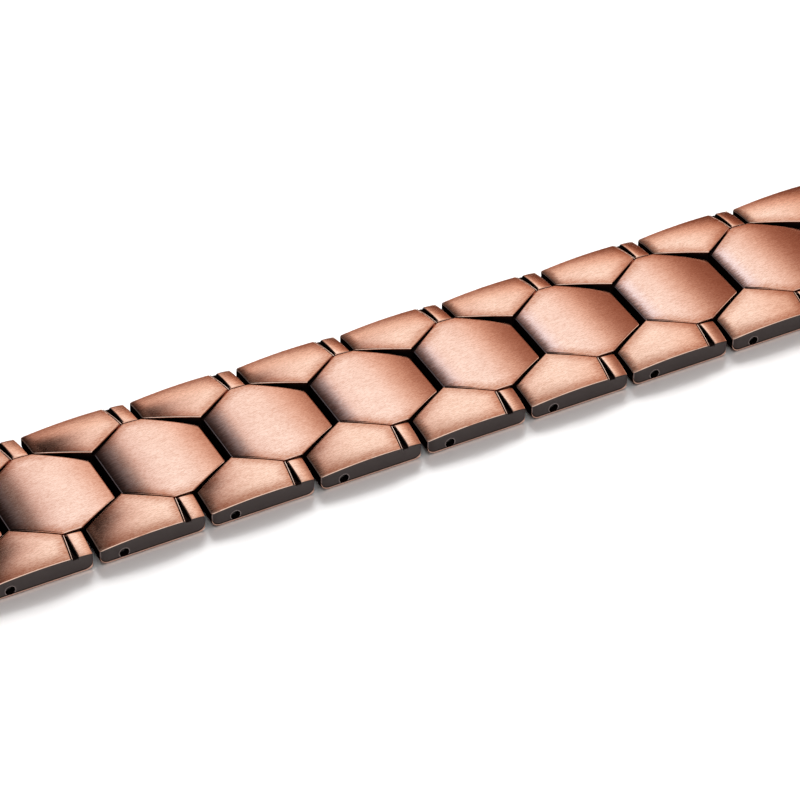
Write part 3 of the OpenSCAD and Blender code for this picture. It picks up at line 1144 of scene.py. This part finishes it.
class BRACELET_OT_hinge_pins(bpy.types.Operator):
    """Turns the hinge pins with domed ends and lays one at each hinge"""

    bl_idname = "bracelet.hinge_pins"
    bl_label = "Hinge pins"

    def execute(self, context):
        sizes = context.scene.bracelet_sizes
        finish = context.scene.bracelet_finish
        half = sizes.pin_length / MM / 2
        radius = sizes.pin_diameter / MM / 2
        dome, dome_steps = 0.12, 6
        profile = [(0, -half)]
        for k in range(1, dome_steps + 1):
            angle = math.pi / 2 * k / dome_steps
            profile.append((radius * math.sin(angle), -half + dome * (1 - math.cos(angle))))
        profile += [(r, -z) for r, z in reversed(profile)]
        place = (-sizes.pin_back / MM, 0, sizes.pin_height / MM)
        mesh = turned_mesh("pin", profile, 24, math.pi / 2, place)
        material = made_once("blackened_steel_wire", dark_pin_steel, finish)
        start = band_start(sizes)
        laid_pieces(mesh, PIN_NODES, "hinge_pin_", start, sizes.link_pitch, material)
        return {"FINISHED"}


class BRACELET_OT_round_magnets(bpy.types.Operator):
    """Makes the round magnets and sets one in the back of each link"""

    bl_idname = "bracelet.round_magnets"
    bl_label = "Round magnets"

    def execute(self, context):
        sizes = context.scene.bracelet_sizes
        finish = context.scene.bracelet_finish
        radius = sizes.magnet_diameter / MM / 2
        thickness = sizes.magnet_thickness / MM
        edge = 0.12
        profile = [(0, 0), (radius - edge, 0)]
        profile += [(radius - edge * inward, edge * up) for inward, up in quarter(4)]
        profile += [(r, thickness - z) for r, z in reversed(profile)]
        place = (sizes.side_start / MM, 0, sizes.magnet_recess / MM)
        mesh = turned_mesh("magnet", profile, 64, 0.0, place)
        material = made_once("nickel_plating", nickel_plate, finish)
        start = band_start(sizes)
        laid_pieces(mesh, MAGNET_NODES, "round_magnet_", start, sizes.link_pitch, material)
        return {"FINISHED"}


def studio_world():
    """Soft studio surround. Behind the band stand a dark flag at the left, a tall soft panel, and a warm
    fall-off at its right; a broad panel fills from the front. x, y and z are the parts of the direction
    that a ray leaves in."""
    world = bpy.data.worlds.new("studio")
    bpy.context.scene.world = world
    world.use_nodes = True
    wire = Wiring(world.node_tree)
    x, y, z = wire.axes(wire.node("ShaderNodeTexCoord", out=0))

    middle = 0.37
    above = wire.math("MAXIMUM", wire.minus(z, 0.64), 0.0)
    below = wire.math("MAXIMUM", wire.minus(0.62, z), 0.0)
    spread = wire.fused(wire.math("ADD", above, below), -0.8, 1.0)
    leaning = wire.fused(wire.minus(x, middle), spread, middle)
    leaning = wire.fused(above, 0.18, leaning)
    leaning = wire.fused(below, 0.30, leaning)
    across = wire.gradient(leaning, [
        (0.00, (0.06, 0.06, 0.065)),
        (0.05, (0.006, 0.006, 0.007)),
        (0.200, (0.006, 0.006, 0.007)),
        (0.228, (0.27, 0.20, 0.19)),
        (0.255, (0.78, 0.69, 0.68)),
        (0.290, (0.99, 1.02, 1.06)),
        (0.335, (1.10, 1.22, 1.28)),
        (0.412, (1.10, 1.22, 1.28)),
        (0.468, (1.00, 0.94, 0.90)),
        (0.515, (0.76, 0.59, 0.50)),
        (0.560, (0.48, 0.30, 0.235)),
        (0.615, (0.34, 0.18, 0.13)),
        (0.700, (0.27, 0.14, 0.105)),
        (0.760, (1.10, 1.06, 1.02)),
    ])
    upward = wire.gradient(z, [
        (0.10, (0.22, 0.15, 0.12)),
        (0.33, (0.55, 0.38, 0.32)),
        (0.47, (0.90, 0.70, 0.60)),
        (0.61, (1.0, 1.0, 1.0)),
        (0.80, (1.0, 1.0, 1.0)),
        (0.90, (0.62, 0.52, 0.47)),
        (1.00, (0.45, 0.40, 0.37)),
    ])
    panel = wire.tinted(across, upward)
    left_wall = wire.times(wire.ramp(x, -0.30, -0.45), wire.ramp(x, -0.95, -0.75))
    left_wall = wire.mix(left_wall, (0.04, 0.04, 0.045, 1.0), (0.20, 0.20, 0.21, 1.0))
    rear = wire.mix(wire.ramp(x, 0.0, -0.02), panel, left_wall)

    panel_width = wire.ramp(wire.math("ABSOLUTE", x), 0.75, 0.35)
    front_panel = wire.times(panel_width, wire.ramp(z, 0.25, 0.50))
    front = wire.mix(front_panel, (0.34, 0.20, 0.155, 1.0), WHITE)
    surround = wire.mix(wire.ramp(y, -0.05, 0.2), front, rear)
    surround = wire.mix(wire.ramp(z, 0.02, -0.06), surround, (0.55, 0.54, 0.53, 1.0))
    bright = wire.node("ShaderNodeVectorMath", {0: surround, "Scale": 1.10}, operation="SCALE")
    light = wire.node("ShaderNodeBackground", {"Color": bright, "Strength": 1.0})
    wire.node("ShaderNodeOutputWorld", {"Surface": light}, out=None)


def pale_floor(colour_value):
    """White studio board with a soft gloss."""
    material, wire, place = new_material("pale_floor")
    tone = wire.mix(wire.noise(place, 6.0, 2.0), rgba(colour_value), rgba(colour_value, 0.985))
    matt = wire.node("ShaderNodeBsdfDiffuse", {"Color": tone})
    gloss = wire.node("ShaderNodeBsdfGlossy", {"Color": tone, "Roughness": 0.36})
    gloss_share = 0.38
    shader = wire.node("ShaderNodeMixShader", {0: gloss_share, 1: matt, 2: gloss})
    wire.node("ShaderNodeOutputMaterial", {"Surface": shader}, out=None)
    return material


def area_light(name, place, size, power):
    """A square white light aimed at the band's middle. Only matt surfaces show it."""
    data = bpy.data.lights.new(name, "AREA")
    data.shape = "RECTANGLE"
    data.size = data.size_y = size
    data.energy = power
    light = bpy.data.objects.new(name, data)
    light.location = place
    light.rotation_euler = (-Vector(place)).to_track_quat("-Z", "Y").to_euler()
    light.visible_camera = False
    light.visible_glossy = False
    bpy.context.scene.collection.objects.link(light)


class BRACELET_OT_studio(bpy.types.Operator):
    """Sets the pale floor, the soft light and the camera"""

    bl_idname = "bracelet.studio"
    bl_label = "Studio"

    def execute(self, context):
        studio = context.scene.bracelet_studio
        studio_world()
        floor_half = 4.0
        corners = ((-1, -1), (1, -1), (1, 1), (-1, 1))
        mesh = bpy.data.meshes.new("floor")
        mesh.from_pydata([(x * floor_half, y * floor_half, 0) for x, y in corners], [], [(0, 1, 2, 3)])
        mesh.materials.append(pale_floor(studio.floor_colour))
        floor = bpy.data.objects.new("floor", mesh)
        context.scene.collection.objects.link(floor)
        area_light("key", (0.36, 0.79, 0.50), 0.55, studio.key_power)
        area_light("overhead", (0.0, -0.1, 0.9), 0.8, studio.fill_power)

        azimuth, elevation, roll = studio.camera_azimuth, studio.camera_elevation, studio.camera_roll
        level = math.cos(elevation)
        forward = Vector((math.sin(azimuth) * level, math.cos(azimuth) * level, -math.sin(elevation)))
        right = forward.cross(Vector((0, 0, 1))).normalized()
        up = right.cross(forward)
        image_right = math.cos(roll) * right + math.sin(roll) * up
        image_up = -math.sin(roll) * right + math.cos(roll) * up
        data = bpy.data.cameras.new("camera")
        data.sensor_width = 36.0
        data.lens = studio.camera_lens
        data.clip_start = 0.01
        data.clip_end = 20.0
        camera = bpy.data.objects.new("camera", data)
        aside, height = -0.675 * MM, 0.2 * MM
        place = Vector((studio.target_along, aside, height)) - forward * studio.camera_distance
        turn = Matrix((image_right, image_up, -forward)).transposed().to_4x4()
        camera.matrix_world = Matrix.Translation(place) @ turn
        context.scene.collection.objects.link(camera)
        context.scene.camera = camera
        context.scene.view_settings.view_transform = "Standard"
        return {"FINISHED"}


class BRACELET_PT_parts(bpy.types.Panel):
    """Lists the pieces of the bracelet and their sizes"""

    bl_idname = "BRACELET_PT_parts"
    bl_label = "Magnetic link bracelet"
    bl_space_type = "VIEW_3D"
    bl_region_type = "UI"
    bl_category = "Bracelet"

    def draw(self, context):
        layout = self.layout
        for operator in OPERATORS:
            layout.operator(operator.bl_idname)
        scene = context.scene
        for group in (scene.bracelet_sizes, scene.bracelet_finish, scene.bracelet_studio):
            box = layout.box()
            for name in group.bl_rna.properties.keys():
                if name not in ("rna_type", "name"):
                    box.prop(group, name)


OPERATORS = (
    BRACELET_OT_studio,
    BRACELET_OT_cast_links,
    BRACELET_OT_snap_clasp,
    BRACELET_OT_hinge_pins,
    BRACELET_OT_round_magnets,
)
CLASSES = (BraceletSizes, BraceletFinish, BraceletStudio) + OPERATORS + (BRACELET_PT_parts,)


def register():
    for item in CLASSES:
        bpy.utils.register_class(item)
    bpy.types.Scene.bracelet_sizes = PointerProperty(type=BraceletSizes)
    bpy.types.Scene.bracelet_finish = PointerProperty(type=BraceletFinish)
    bpy.types.Scene.bracelet_studio = PointerProperty(type=BraceletStudio)


def unregister():
    del bpy.types.Scene.bracelet_studio
    del bpy.types.Scene.bracelet_finish
    del bpy.types.Scene.bracelet_sizes
    for item in reversed(CLASSES):
        bpy.utils.unregister_class(item)


def main():
    register()
    bpy.ops.bracelet.studio()
    bpy.ops.bracelet.cast_links()
    bpy.ops.bracelet.snap_clasp()
    bpy.ops.bracelet.hinge_pins()
    bpy.ops.bracelet.round_magnets()


if __name__ == "__main__":
    main()
